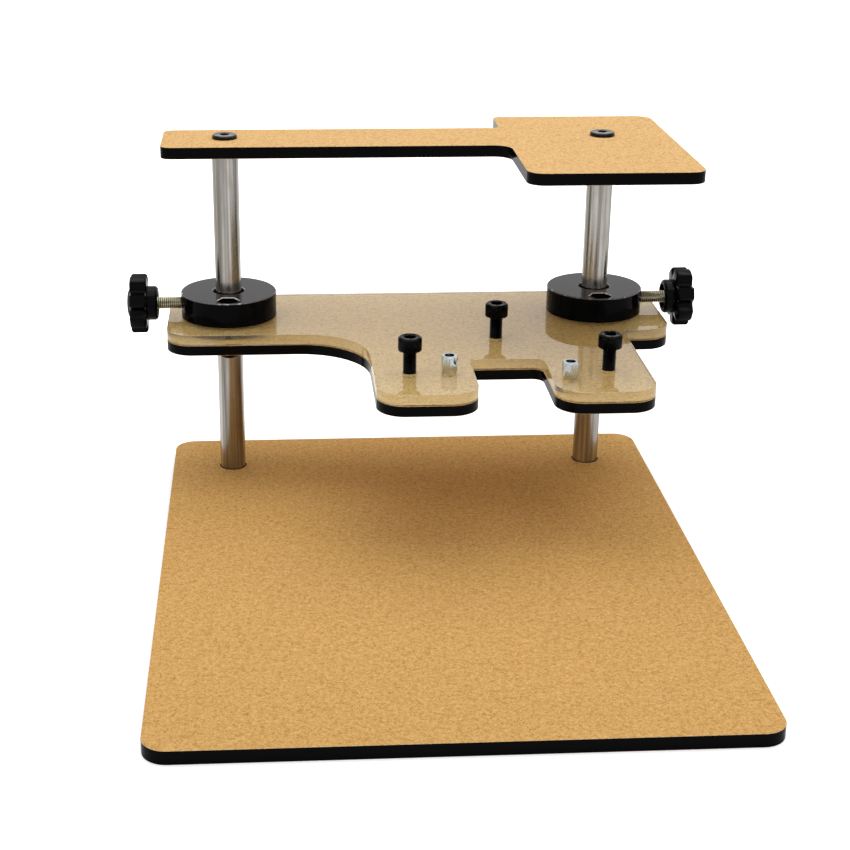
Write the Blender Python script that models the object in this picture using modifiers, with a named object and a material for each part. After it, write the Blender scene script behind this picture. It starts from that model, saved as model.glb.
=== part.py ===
# ECU programming frame: a sheet base, two steel posts, a top beam that ties them, and a probe
# plate that slides on the posts and is clamped at its height by two star knobs.
# Metres, +Z up. The origin is on the base's underside, below the middle of the line between
# the posts. +X is to the right and +Y is to the back, seen from where the frame is used.

import math

import bmesh
import bpy

for old in list(bpy.data.objects):
    bpy.data.objects.remove(old, do_unlink=True)

# Gaps between pieces
seat_gap = 0.0003
post_clearance = 0.0004
screw_clearance = 0.0003

# Base sheet
base_width = 0.192
base_depth = 0.240
base_thickness = 0.0048
base_corner_radius = 0.008
post_to_back_edge = 0.0265
post_recess_depth = 0.0010

# Posts
post_diameter = 0.010
post_spacing = 0.144
post_stand = 0.129
post_edge_chamfer = 0.0005
tapped_depth = 0.014

# Top beam: an arm over both posts, with a wide pad on the right
beam_thickness = 0.0045
beam_left_reach = 0.0236
beam_right_reach = 0.0260
arm_width = 0.032
arm_corner_radius = 0.004
pad_width = 0.0635
pad_front = 0.0633
pad_back = 0.0378
pad_corner_radius = 0.006
pad_front_fillet = 0.0065
pad_rear_radius = 0.003

# Probe plate and the clear sheet on it
plate_thickness = 0.0040
cover_thickness = 0.0038
plate_underside = 0.0606
plate_left_reach = 0.0236
plate_right_reach = 0.0260
tab_width = 0.0524
right_tab_front = 0.0268
tab_corner_radius = 0.010
fork_centre = 0.0297
fork_width = 0.0986
fork_front = 0.0945
fork_corner_radius = 0.010
shoulder_radius = 0.026
notch_width = 0.0268
notch_back = 0.0582
notch_left_radius = 0.001
notch_right_radius = 0.004
side_notch_radius = 0.002

# Collars on the plate
collar_diameter = 0.0370
collar_height = 0.0096
collar_edge_bevel = 0.0004
collar_screw_offset = 0.0138
nut_pocket_across_flats = 0.0076
nut_pocket_depth = 0.0048

# Collar screws and nuts, M4
collar_screw_diameter = 0.004
collar_screw_length = 0.016
collar_screw_head_diameter = 0.007
collar_screw_head_height = 0.004
collar_screw_key = 0.003
nut_across_flats = 0.007
nut_height = 0.0032

# Star knobs and their studs, M5
stud_diameter = 0.005
stud_length = 0.030
hub_diameter = 0.0133
hub_length = 0.0040
hub_recess_diameter = 0.0098
hub_recess_depth = 0.0024
knob_gap = 0.0090
star_radius = 0.0115
star_lobes = 7
star_lobe_depth = 0.0028
star_crest_cut = 1.2
star_lobe_rise = math.radians(21)
star_thickness = 0.0066
star_edge_bevel = 0.0008
crown_diameter = 0.0120
crown_height = 0.0014

# Adjuster cap screws, M5
adjuster_diameter = 0.005
adjuster_length = 0.020
adjuster_head_diameter = 0.0085
adjuster_head_height = 0.005
adjuster_key = 0.004
adjuster_stand = 0.0083
adjuster_centre = 0.0290
adjuster_half_spacing = 0.0358
adjuster_front = 0.0707
adjuster_back = 0.0325

# Hex standoffs and their screws, M3
standoff_across_flats = 0.0055
standoff_height = 0.0060
left_standoff_place = (0.0073, -0.0712)
right_standoff_place = (0.0493, -0.0797)
standoff_screw_diameter = 0.003
standoff_screw_length = 0.012
standoff_head_diameter = 0.0055
standoff_head_height = 0.002

# End screws of the posts, M5
top_screw_head_diameter = 0.0095
top_screw_head_height = 0.0012
end_screw_diameter = 0.005
end_screw_length = 0.014
end_screw_key = 0.003
end_screw_key_depth = 0.0009
sunk_head_diameter = 0.0094
sunk_head_height = 0.0025

# Facets
round_steps = 32
small_round_steps = 16
corner_steps = 5
shoulder_steps = 12
star_steps = 8

# Levels worked out from the sizes
post_x = post_spacing / 2
base_front = post_to_back_edge - base_depth
beam_underside = base_thickness + post_stand
beam_top = beam_underside + beam_thickness
cover_underside = plate_underside + plate_thickness + seat_gap
cover_top = cover_underside + cover_thickness
collar_underside = cover_top + seat_gap
collar_top = collar_underside + collar_height
stud_height = collar_underside + collar_height / 2
post_hole_diameter = post_diameter + 2 * post_clearance
stud_tip = post_diameter / 2 + seat_gap

model = bpy.data.collections.new("ecu_programming_frame")
bpy.context.scene.collection.children.link(model)
cutters = bpy.data.collections.new("cutters")
bpy.context.scene.collection.children.link(cutters)


def finish_material(name, colour, roughness, metallic=0.0):
    """A Principled material in one colour."""
    material = bpy.data.materials.new(name)
    material.use_nodes = True
    shader = material.node_tree.nodes["Principled BSDF"]
    shader.inputs["Base Color"].default_value = (*colour, 1.0)
    shader.inputs["Roughness"].default_value = roughness
    shader.inputs["Metallic"].default_value = metallic
    material.diffuse_color = (*colour, 1.0)
    return material


def add_part(name, mesh, material, place=(0, 0, 0), turn=(0, 0, 0)):
    """A named sub-part in the model's collection, with its own copy of a finish."""
    part = bpy.data.objects.new(name, mesh)
    model.objects.link(part)
    part.location = place
    part.rotation_euler = turn
    mesh.materials.clear()
    mesh.materials.append(finish_material(name, *material))
    return part


def smooth_by_angle(mesh):
    mesh.shade_smooth()
    mesh.set_sharp_from_angle(angle=math.radians(35))


def cylinder_mesh(name, diameter, length, steps=round_steps):
    """A cylinder on +Z that stands on the origin."""
    mesh = bpy.data.meshes.new(name)
    shape = bmesh.new()
    bmesh.ops.create_cone(
        shape,
        cap_ends=True,
        segments=steps,
        radius1=diameter / 2,
        radius2=diameter / 2,
        depth=length,
    )
    bmesh.ops.translate(shape, verts=shape.verts, vec=(0, 0, length / 2))
    shape.to_mesh(mesh)
    shape.free()
    smooth_by_angle(mesh)
    return mesh


def hexagon_mesh(name, across_flats, length):
    """A hexagonal bar on +Z that stands on the origin."""
    across_corners = across_flats / math.cos(math.pi / 6)
    return cylinder_mesh(name, across_corners, length, 6)


def cut(part, mesh, place, turn=(0, 0, 0)):
    """Cuts a mesh that stands at a place in the part's own frame out of the part."""
    cutter = bpy.data.objects.new(part.name + "_cutter", mesh)
    cutters.objects.link(cutter)
    cutter.parent = part
    cutter.location = place
    cutter.rotation_euler = turn
    cutter.hide_render = True
    cutter.display_type = "WIRE"
    step = part.modifiers.new("cut", "BOOLEAN")
    step.operation = "DIFFERENCE"
    step.solver = "EXACT"
    step.object = cutter


def join(part, mesh, place, turn=(0, 0, 0)):
    """Joins a mesh that stands at a place in the part's own frame to the part."""
    cut(part, mesh, place, turn)
    part.modifiers[-1].operation = "UNION"
    part.modifiers[-1].name = "join"


def drill(part, holes, thickness):
    """Drills holes, listed as (x, y, diameter), through a piece that stands on its own Z 0."""
    spare = 0.001
    mesh = bpy.data.meshes.new("holes")
    shape = bmesh.new()
    for x, y, diameter in holes:
        drawn = bmesh.ops.create_cone(
            shape,
            cap_ends=True,
            segments=small_round_steps,
            radius1=diameter / 2,
            radius2=diameter / 2,
            depth=thickness + 2 * spare,
        )
        bmesh.ops.translate(shape, verts=drawn["verts"], vec=(x, y, thickness / 2))
    shape.to_mesh(mesh)
    shape.free()
    cut(part, mesh, (0, 0, 0))


def turned_part(name, profile, material, place=(0, 0, 0), turn=(0, 0, 0), steps=round_steps):
    """A solid turned about Z from a closed profile of (radius, height), top to bottom outside."""
    mesh = bpy.data.meshes.new(name)
    shape = bmesh.new()
    corners = [shape.verts.new((radius, 0, height)) for radius, height in profile]
    on_axis = [corner.co.x == 0 for corner in corners]
    for i in range(len(corners)):
        j = (i + 1) % len(corners)
        if not (on_axis[i] and on_axis[j]):
            shape.edges.new((corners[i], corners[j]))
    shape.to_mesh(mesh)
    shape.free()
    part = add_part(name, mesh, material, place, turn)
    screw = part.modifiers.new("turn", "SCREW")
    screw.axis = "Z"
    screw.angle = math.tau
    screw.steps = steps
    screw.render_steps = steps
    screw.use_merge_vertices = True
    screw.merge_threshold = 0.00001
    screw.use_normal_calculate = False
    screw.use_smooth_shade = False
    return part


def rounded_outline(corners):
    """The closed outline through (x, y, radius, steps) corners, each rounded by an arc."""
    points = []
    count = len(corners)
    for i, (x, y, radius, steps) in enumerate(corners):
        before = corners[i - 1]
        after = corners[(i + 1) % count]
        to_before = math.atan2(before[1] - y, before[0] - x)
        to_after = math.atan2(after[1] - y, after[0] - x)
        opening = (to_after - to_before + math.pi) % math.tau - math.pi
        half = opening / 2
        reach = radius / abs(math.tan(half))
        middle = to_before + half
        centre_distance = radius / abs(math.sin(half))
        centre_x = x + centre_distance * math.cos(middle)
        centre_y = y + centre_distance * math.sin(middle)
        start_x = x + reach * math.cos(to_before)
        start_y = y + reach * math.sin(to_before)
        start = math.atan2(start_y - centre_y, start_x - centre_x)
        sweep = -math.copysign(math.pi - abs(opening), opening)
        for k in range(steps + 1):
            angle = start + sweep * k / steps
            points.append((centre_x + radius * math.cos(angle), centre_y + radius * math.sin(angle)))
    return points


def flat_mesh(name, outline, thickness):
    """A flat closed solid from an outline, with its underside at Z 0."""
    curve = bpy.data.curves.new(name, "CURVE")
    curve.dimensions = "2D"
    curve.fill_mode = "BOTH"
    curve.extrude = thickness / 2
    spline = curve.splines.new("POLY")
    spline.points.add(len(outline) - 1)
    for point, (x, y) in zip(spline.points, outline):
        point.co = (x, y, 0, 1)
    spline.use_cyclic_u = True
    drawn = bpy.data.objects.new(name, curve)
    bpy.context.scene.collection.objects.link(drawn)
    bpy.context.view_layer.update()
    seen = drawn.evaluated_get(bpy.context.evaluated_depsgraph_get())
    mesh = bpy.data.meshes.new_from_object(seen)
    bpy.data.objects.remove(drawn, do_unlink=True)
    shape = bmesh.new()
    shape.from_mesh(mesh)
    bmesh.ops.remove_doubles(shape, verts=shape.verts, dist=0.000001)
    bmesh.ops.translate(shape, verts=shape.verts, vec=(0, 0, thickness / 2))
    bmesh.ops.recalc_face_normals(shape, faces=shape.faces)
    bmesh.ops.dissolve_limit(
        shape,
        angle_limit=math.radians(0.5),
        verts=shape.verts,
        edges=shape.edges,
    )
    shape.to_mesh(mesh)
    shape.free()
    smooth_by_angle(mesh)
    return mesh


# Finishes: colour, roughness, metallic
kraft_sheet = ((0.560, 0.365, 0.150), 0.75)
clear_sheet = ((0.700, 0.640, 0.530), 0.10)
black_acrylic = ((0.030, 0.030, 0.032), 0.20)
black_plastic = ((0.012, 0.012, 0.013), 0.40)
black_steel = ((0.020, 0.020, 0.021), 0.45, 0.8)
ground_steel = ((0.600, 0.580, 0.550), 0.20, 1.0)
zinc_steel = ((0.650, 0.650, 0.600), 0.30, 1.0)


def make_base():
    """The base sheet, with a register for each post and a sunk hole for its screw from below."""
    left = -base_width / 2
    right = base_width / 2
    outline = rounded_outline(
        [
            (left, base_front, base_corner_radius, corner_steps),
            (right, base_front, base_corner_radius, corner_steps),
            (right, post_to_back_edge, base_corner_radius, corner_steps),
            (left, post_to_back_edge, base_corner_radius, corner_steps),
        ]
    )
    base = add_part("base_plate", flat_mesh("base_plate", outline, base_thickness), kraft_sheet)
    recess_floor = base_thickness - post_recess_depth
    for x in (-post_x, post_x):
        recess = cylinder_mesh("recess", post_hole_diameter, 2 * post_recess_depth)
        cut(base, recess, (x, 0, recess_floor))
        cut(base, sunk_hole_mesh(), (x, 0, 0))
    shank_hole = end_screw_diameter + 2 * screw_clearance
    drill(base, [(-post_x, 0, shank_hole), (post_x, 0, shank_hole)], base_thickness)


def sunk_hole_mesh():
    """The countersink in the base, wider than the sunk head all round."""
    head = sunk_head_diameter / 2 + screw_clearance
    neck = end_screw_diameter / 2 + screw_clearance
    slope = (head - neck) / sunk_head_height
    spare = 0.0005
    mesh = bpy.data.meshes.new("countersink")
    shape = bmesh.new()
    bmesh.ops.create_cone(
        shape,
        cap_ends=True,
        segments=round_steps,
        radius1=head + slope * spare,
        radius2=neck,
        depth=sunk_head_height + spare,
    )
    middle = (sunk_head_height - spare) / 2 + seat_gap
    bmesh.ops.translate(shape, verts=shape.verts, vec=(0, 0, middle))
    shape.to_mesh(mesh)
    shape.free()
    return mesh


def make_post(side, x):
    """A ground steel rod with a tapped hole in each end and a small chamfer on its edges."""
    radius = post_diameter / 2
    bore = end_screw_diameter / 2 + screw_clearance
    foot = base_thickness - post_recess_depth + seat_gap
    length = beam_underside - seat_gap - foot
    edge = post_edge_chamfer
    profile = [
        (bore, length),
        (radius - edge, length),
        (radius, length - edge),
        (radius, edge),
        (radius - edge, 0),
        (bore, 0),
        (bore, tapped_depth),
        (0, tapped_depth),
        (0, length - tapped_depth),
        (bore, length - tapped_depth),
    ]
    turned_part(side + "_post", profile, ground_steel, (x, 0, foot))


def make_base_screw(side, x):
    """The sunk screw that holds a post from below, with its head just inside the base."""
    head = sunk_head_diameter / 2
    shank = end_screw_diameter / 2
    top = seat_gap + end_screw_length
    profile = [
        (0, top),
        (shank, top),
        (shank, seat_gap + sunk_head_height),
        (head, seat_gap),
        (0, seat_gap),
    ]
    screw = turned_part(side + "_base_screw", profile, black_steel, (x, 0, 0), steps=small_round_steps)
    socket = hexagon_mesh("socket", end_screw_key, 2 * end_screw_key_depth)
    cut(screw, socket, (0, 0, seat_gap - end_screw_key_depth))


def make_top_screw(side, x):
    """The low-head socket screw that ties the beam to a post."""
    head = top_screw_head_diameter / 2
    shank = end_screw_diameter / 2
    under_head = beam_top + seat_gap
    top = under_head + top_screw_head_height
    tip = under_head - end_screw_length
    rim = top_screw_head_height / 3
    profile = [
        (0, top),
        (head - rim, top),
        (head, top - rim),
        (head, under_head),
        (shank, under_head),
        (shank, tip),
        (0, tip),
    ]
    screw = turned_part(side + "_top_screw", profile, black_steel, (x, 0, 0), steps=small_round_steps)
    socket = hexagon_mesh("socket", end_screw_key, 2 * end_screw_key_depth)
    cut(screw, socket, (0, 0, top - end_screw_key_depth))


def make_beam():
    """The top beam: a straight arm over both posts that widens to a pad on the right."""
    left = -post_x - beam_left_reach
    right = post_x + beam_right_reach
    pad_left = right - pad_width
    half_arm = arm_width / 2
    outline = rounded_outline(
        [
            (left, -half_arm, arm_corner_radius, corner_steps),
            (pad_left, -half_arm, pad_front_fillet, corner_steps),
            (pad_left, -pad_front, pad_corner_radius, corner_steps),
            (right, -pad_front, pad_corner_radius, corner_steps),
            (right, pad_back, pad_corner_radius, corner_steps),
            (pad_left, pad_back, pad_rear_radius, corner_steps),
            (pad_left, half_arm, pad_rear_radius, corner_steps),
            (left, half_arm, arm_corner_radius, corner_steps),
        ]
    )
    mesh = flat_mesh("top_beam", outline, beam_thickness)
    beam = add_part("top_beam", mesh, kraft_sheet, (0, 0, beam_underside))
    hole = end_screw_diameter + 2 * screw_clearance
    drill(beam, [(-post_x, 0, hole), (post_x, 0, hole)], beam_thickness)


def plate_outline():
    """Tabs over both posts, and a fork of two lobes to the front with a notch between them."""
    left = -post_x - plate_left_reach
    right = post_x + plate_right_reach
    half_tab = tab_width / 2
    fork_left = fork_centre - fork_width / 2
    fork_right = fork_centre + fork_width / 2
    notch_left = fork_centre - notch_width / 2
    notch_right = fork_centre + notch_width / 2
    return rounded_outline(
        [
            (left, -half_tab, tab_corner_radius, corner_steps),
            (fork_left, -half_tab, shoulder_radius, shoulder_steps),
            (fork_left, -fork_front, fork_corner_radius, corner_steps),
            (notch_left, -fork_front, fork_corner_radius, corner_steps),
            (notch_left, -notch_back, notch_left_radius, corner_steps),
            (notch_right, -notch_back, notch_right_radius, corner_steps),
            (notch_right, -fork_front, fork_corner_radius, corner_steps),
            (fork_right, -fork_front, fork_corner_radius, corner_steps),
            (fork_right, -right_tab_front, side_notch_radius, corner_steps),
            (right, -right_tab_front, tab_corner_radius, corner_steps),
            (right, half_tab, tab_corner_radius, corner_steps),
            (left, half_tab, tab_corner_radius, corner_steps),
        ]
    )


def adjuster_places():
    """Two adjusters on the lobes and one behind the notch."""
    return {
        "left_adjuster_screw": (adjuster_centre - adjuster_half_spacing, -adjuster_front),
        "rear_adjuster_screw": (adjuster_centre, -adjuster_back),
        "right_adjuster_screw": (adjuster_centre + adjuster_half_spacing, -adjuster_front),
    }


def make_plate_sheet(name, underside, thickness, material):
    """One of the two sheets of the probe plate, drilled for all that passes through it."""
    mesh = flat_mesh(name, plate_outline(), thickness)
    sheet = add_part(name, mesh, material, (0, 0, underside))
    holes = []
    for x in (-post_x, post_x):
        holes.append((x, 0, post_hole_diameter))
        holes.append((x, -collar_screw_offset, collar_screw_diameter + 2 * screw_clearance))
    for x, y in adjuster_places().values():
        holes.append((x, y, adjuster_diameter + 2 * screw_clearance))
    for x, y in (left_standoff_place, right_standoff_place):
        holes.append((x, y, standoff_screw_diameter + 2 * screw_clearance))
    drill(sheet, holes, thickness)


def make_collar(side, x, outward):
    """A thick turned disc round a post, with a pocket for a nut and a hole for the stud."""
    radius = collar_diameter / 2
    bore = post_hole_diameter / 2
    edge = collar_edge_bevel
    profile = [
        (bore + edge, collar_height),
        (radius - edge, collar_height),
        (radius, collar_height - edge),
        (radius, 0),
        (bore, 0),
        (bore, collar_height - edge),
    ]
    place = (x, 0, collar_underside)
    collar = turned_part(side + "_collar", profile, black_acrylic, place)
    hole = collar_screw_diameter + 2 * screw_clearance
    drill(collar, [(0, -collar_screw_offset, hole)], collar_height)
    pocket = hexagon_mesh("pocket", nut_pocket_across_flats, 2 * nut_pocket_depth)
    pocket_place = (0, -collar_screw_offset, collar_height - nut_pocket_depth)
    cut(collar, pocket, pocket_place, (0, 0, math.pi / 6))
    stud_hole = cylinder_mesh("stud_hole", stud_diameter + 2 * screw_clearance, radius, small_round_steps)
    start = (outward * bore / 2, 0, collar_height / 2)
    cut(collar, stud_hole, start, (0, outward * math.pi / 2, 0))


def make_collar_screw(side, x):
    """A socket cap screw from below that holds plate, clear sheet and collar together."""
    head = collar_screw_head_diameter / 2
    shank = collar_screw_diameter / 2
    under_head = plate_underside - seat_gap
    tip = under_head + collar_screw_length
    bottom = under_head - collar_screw_head_height
    profile = [
        (0, tip),
        (shank, tip),
        (shank, under_head),
        (head, under_head),
        (head, bottom),
        (0, bottom),
    ]
    place = (x, -collar_screw_offset, 0)
    screw = turned_part(side + "_collar_screw", profile, black_steel, place, steps=small_round_steps)
    depth = collar_screw_head_height / 2
    cut(screw, hexagon_mesh("socket", collar_screw_key, 2 * depth), (0, 0, bottom - depth))


def make_collar_nut(side, x):
    """The hexagon nut of a collar screw, in the collar's pocket, two flats to front and back."""
    mesh = hexagon_mesh("nut", nut_across_flats, nut_height)
    place = (x, -collar_screw_offset, collar_top - nut_pocket_depth + seat_gap)
    nut = add_part(side + "_collar_nut", mesh, black_steel, place, (0, 0, math.pi / 6))
    drill(nut, [(0, 0, collar_screw_diameter + 2 * screw_clearance)], nut_height)


def make_stud(side, parent):
    """The threaded stud that presses on the post, on its own axis from the tip outwards."""
    radius = stud_diameter / 2
    edge = radius / 4
    profile = [
        (0, stud_length),
        (radius, stud_length),
        (radius, edge),
        (radius - edge, 0),
        (0, 0),
    ]
    stud = turned_part(side + "_clamp_stud", profile, zinc_steel, steps=small_round_steps)
    stud.parent = parent
    stud.location = (0, 0, stud_tip)


def star_outline(first_lobe):
    """Flat-crested lobes with rounded notches between, the first lobe at an angle."""
    points = []
    count = star_lobes * star_steps
    for k in range(count):
        angle = math.tau * k / count
        wave = min(1, (1 + math.cos(star_lobes * angle)) / star_crest_cut)
        radius = star_radius - star_lobe_depth * (1 - wave)
        points.append((radius * math.cos(angle + first_lobe), radius * math.sin(angle + first_lobe)))
    return points


def make_knob(side, parent, outward):
    """A moulded star knob: hub with a recess towards the collar, lobed grip and low crown.

    One lobe points to the front and up, as the knobs happen to stand.
    """
    hub_face = collar_diameter / 2 + knob_gap
    first_lobe = math.atan2(-math.cos(star_lobe_rise), -outward * math.sin(star_lobe_rise))
    mesh = flat_mesh("star", star_outline(first_lobe), star_thickness)
    knob = add_part(side + "_knob", mesh, black_plastic)
    knob.parent = parent
    knob.location = (0, 0, hub_face + hub_length)
    rounding = knob.modifiers.new("rounding", "BEVEL")
    rounding.width = star_edge_bevel
    rounding.segments = 1
    rounding.limit_method = "ANGLE"
    rounding.angle_limit = math.radians(60)
    sink = star_thickness / 3
    join(knob, cylinder_mesh("hub", hub_diameter, hub_length + sink), (0, 0, -hub_length))
    join(knob, crown_mesh(sink), (0, 0, star_thickness - sink))
    recess = cylinder_mesh("recess", hub_recess_diameter, 2 * hub_recess_depth)
    cut(knob, recess, (0, 0, -hub_length - hub_recess_depth))
    bore_depth = stud_tip + stud_length + seat_gap - hub_face
    bore = cylinder_mesh("bore", stud_diameter + 2 * screw_clearance, bore_depth + hub_length)
    cut(knob, bore, (0, 0, -2 * hub_length))


def crown_mesh(sink):
    """The low domed crown on the knob's outer face."""
    mesh = bpy.data.meshes.new("crown")
    shape = bmesh.new()
    bmesh.ops.create_cone(
        shape,
        cap_ends=True,
        segments=round_steps,
        radius1=crown_diameter / 2,
        radius2=crown_diameter / 2 - 2 * crown_height,
        depth=crown_height,
    )
    bmesh.ops.translate(shape, verts=shape.verts, vec=(0, 0, sink + crown_height / 2))
    floor = [face for face in shape.faces if face.normal.z < -0.9]
    drawn = bmesh.ops.extrude_face_region(shape, geom=floor)
    moved = [v for v in drawn["geom"] if isinstance(v, bmesh.types.BMVert)]
    bmesh.ops.translate(shape, verts=moved, vec=(0, 0, -sink))
    bmesh.ops.delete(shape, geom=floor, context="FACES_ONLY")
    bmesh.ops.recalc_face_normals(shape, faces=shape.faces)
    shape.to_mesh(mesh)
    shape.free()
    return mesh


def make_adjuster(name, x, y):
    """A long socket cap screw that stands proud of the plate and is turned up or down in it."""
    head = adjuster_head_diameter / 2
    shank = adjuster_diameter / 2
    edge = adjuster_head_height / 12
    under_head = cover_top + adjuster_stand
    top = under_head + adjuster_head_height
    tip = under_head - adjuster_length
    profile = [
        (0, top),
        (head - edge, top),
        (head, top - edge),
        (head, under_head),
        (shank, under_head),
        (shank, tip),
        (0, tip),
    ]
    screw = turned_part(name, profile, black_steel, (x, y, 0))
    depth = adjuster_head_height / 2
    cut(screw, hexagon_mesh("socket", adjuster_key, 2 * depth), (0, 0, top - depth))


def make_standoff(side, x, y):
    """A tapped hexagon standoff on the clear sheet."""
    mesh = hexagon_mesh("standoff", standoff_across_flats, standoff_height)
    standoff = add_part(side + "_standoff", mesh, zinc_steel, (x, y, cover_top + seat_gap))
    drill(standoff, [(0, 0, standoff_screw_diameter + 2 * screw_clearance)], standoff_height)


def make_standoff_screw(side, x, y):
    """The pan head screw that holds a standoff from under the plate."""
    head = standoff_head_diameter / 2
    shank = standoff_screw_diameter / 2
    under_head = plate_underside - seat_gap
    tip = under_head + standoff_screw_length
    bottom = under_head - standoff_head_height
    profile = [
        (0, tip),
        (shank, tip),
        (shank, under_head),
        (head, under_head),
        (head - standoff_head_height / 3, bottom),
        (0, bottom),
    ]
    turned_part(side + "_standoff_screw", profile, zinc_steel, (x, y, 0), steps=small_round_steps)


def add_clamp_axis(side, x, outward):
    """An empty on the stud's axis, with its Z pointing outwards from the post."""
    axis = bpy.data.objects.new(side + "_clamp_axis", None)
    model.objects.link(axis)
    axis.location = (x, 0, stud_height)
    axis.rotation_euler = (0, outward * math.pi / 2, 0)
    return axis


make_base()
make_beam()
make_plate_sheet("probe_plate", plate_underside, plate_thickness, kraft_sheet)
make_plate_sheet("clear_cover", cover_underside, cover_thickness, clear_sheet)

for side, x, outward in (("left", -post_x, -1), ("right", post_x, 1)):
    make_post(side, x)
    make_base_screw(side, x)
    make_top_screw(side, x)
    make_collar(side, x, outward)
    make_collar_screw(side, x)
    make_collar_nut(side, x)
    clamp_axis = add_clamp_axis(side, x, outward)
    make_stud(side, clamp_axis)
    make_knob(side, clamp_axis, outward)

for name, (x, y) in adjuster_places().items():
    make_adjuster(name, x, y)

for side, (x, y) in (("left", left_standoff_place), ("right", right_standoff_place)):
    make_standoff(side, x, y)
    make_standoff_screw(side, x, y)

bpy.context.view_layer.update()
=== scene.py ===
import math

import bmesh
import bpy
from mathutils import Matrix, Vector


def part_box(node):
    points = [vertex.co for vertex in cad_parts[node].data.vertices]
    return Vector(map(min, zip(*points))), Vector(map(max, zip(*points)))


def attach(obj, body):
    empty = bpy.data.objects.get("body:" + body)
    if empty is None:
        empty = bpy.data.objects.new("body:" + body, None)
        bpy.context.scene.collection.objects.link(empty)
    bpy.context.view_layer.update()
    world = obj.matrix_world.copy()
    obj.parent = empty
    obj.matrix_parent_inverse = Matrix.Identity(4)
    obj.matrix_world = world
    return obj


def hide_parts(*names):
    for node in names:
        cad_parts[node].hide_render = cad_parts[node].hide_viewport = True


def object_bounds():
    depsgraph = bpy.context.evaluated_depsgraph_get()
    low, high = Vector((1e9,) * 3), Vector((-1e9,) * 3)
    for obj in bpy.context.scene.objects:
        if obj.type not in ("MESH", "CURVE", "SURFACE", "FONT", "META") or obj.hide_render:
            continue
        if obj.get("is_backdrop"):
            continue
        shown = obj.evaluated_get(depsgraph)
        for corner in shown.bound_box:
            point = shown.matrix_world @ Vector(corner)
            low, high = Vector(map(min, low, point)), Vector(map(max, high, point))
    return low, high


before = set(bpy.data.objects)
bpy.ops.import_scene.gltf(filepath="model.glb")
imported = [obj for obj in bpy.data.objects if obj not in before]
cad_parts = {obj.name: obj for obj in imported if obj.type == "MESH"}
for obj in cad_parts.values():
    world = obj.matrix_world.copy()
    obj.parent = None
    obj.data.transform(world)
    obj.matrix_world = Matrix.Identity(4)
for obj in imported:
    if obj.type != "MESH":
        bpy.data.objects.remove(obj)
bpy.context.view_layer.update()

# The camera.
# It stands in front of the frame and a little above it, with a long lens. Its place and its small
# sideways shift are worked out from the frame's straight edges, posts and collars.
camera_place = Vector((-0.0556, -0.6364, 0.2706))
camera_yaw = math.radians(3.70)
camera_pitch = math.radians(21.38)
camera_roll = math.radians(0.33)
camera_lens = 71.65
camera_shift = 0.0588

looking = Vector(
    (
        math.sin(camera_yaw) * math.cos(camera_pitch),
        math.cos(camera_yaw) * math.cos(camera_pitch),
        -math.sin(camera_pitch),
    )
)
level = Vector((math.cos(camera_yaw), -math.sin(camera_yaw), 0))
upright = level.cross(looking)
right = level * math.cos(camera_roll) + upright * math.sin(camera_roll)
above = upright * math.cos(camera_roll) - level * math.sin(camera_roll)
turned = Matrix((right, above, -looking)).transposed().to_4x4()
camera = bpy.data.objects.new("camera", bpy.data.cameras.new("camera"))
camera.matrix_world = Matrix.Translation(camera_place) @ turned
camera.data.lens = camera_lens
camera.data.sensor_width = 36
camera.data.shift_x = camera_shift
bpy.context.scene.collection.objects.link(camera)
bpy.context.scene.camera = camera
bpy.context.scene.view_settings.view_transform = "Standard"


# Base sheet.
# 4.8 mm black cast acrylic, laser cut, with the brown masking paper left on both faces.
# The posts stand in shallow registers and are held from below by sunk screws.
base_left = -0.096
base_right = 0.096
base_front = -0.2135
base_back = 0.0265
base_corner = 0.008
register_radius = 0.0054
register_depth = 0.0010
shank_hole = 0.0028
sunk_hole = 0.0050
sunk_depth = 0.0028
sunk_rim = 0.0003
sheet_chamfer = 0.00014
corner_steps = 12
hole_steps = 48
flat_slope = 0.99
chamfer_slope = 0.4
smooth_below = math.radians(32)


def linear(code):
    """The linear colour of an sRGB hex code."""
    parts = [int(code[i : i + 2], 16) / 255 for i in (0, 2, 4)]
    bright = [p / 12.92 if p <= 0.04045 else ((p + 0.055) / 1.055) ** 2.4 for p in parts]
    return [*bright, 1.0]


def add_node(material, kind, fields, sockets):
    """Adds a node with its fields and sockets; a (node, output) pair makes a link."""
    node = material.node_tree.nodes.new(kind)
    for field, value in fields.items():
        if field == "stops":
            ramp = node.color_ramp.elements
            while len(ramp) < len(value):
                ramp.new(0.5)
            for stop, (place, colour) in zip(ramp, value):
                stop.position = place
                stop.color = colour
        else:
            setattr(node, field, value)
    for socket, value in sockets.items():
        if isinstance(value, tuple):
            material.node_tree.links.new(value[0].outputs[value[1]], node.inputs[socket])
        else:
            node.inputs[socket].default_value = value
    return node


def new_material(name, colour, roughness, metallic=0.0, ior=1.5, sheen_level=0.5):
    """A material with its Principled shader set, and the shader itself."""
    material = bpy.data.materials.new(name)
    material.use_nodes = True
    shader = material.node_tree.nodes["Principled BSDF"]
    shader.inputs["Base Color"].default_value = linear(colour)
    shader.inputs["Roughness"].default_value = roughness
    shader.inputs["Metallic"].default_value = metallic
    shader.inputs["IOR"].default_value = ior
    shader.inputs["Specular IOR Level"].default_value = sheen_level
    return material, shader


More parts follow.
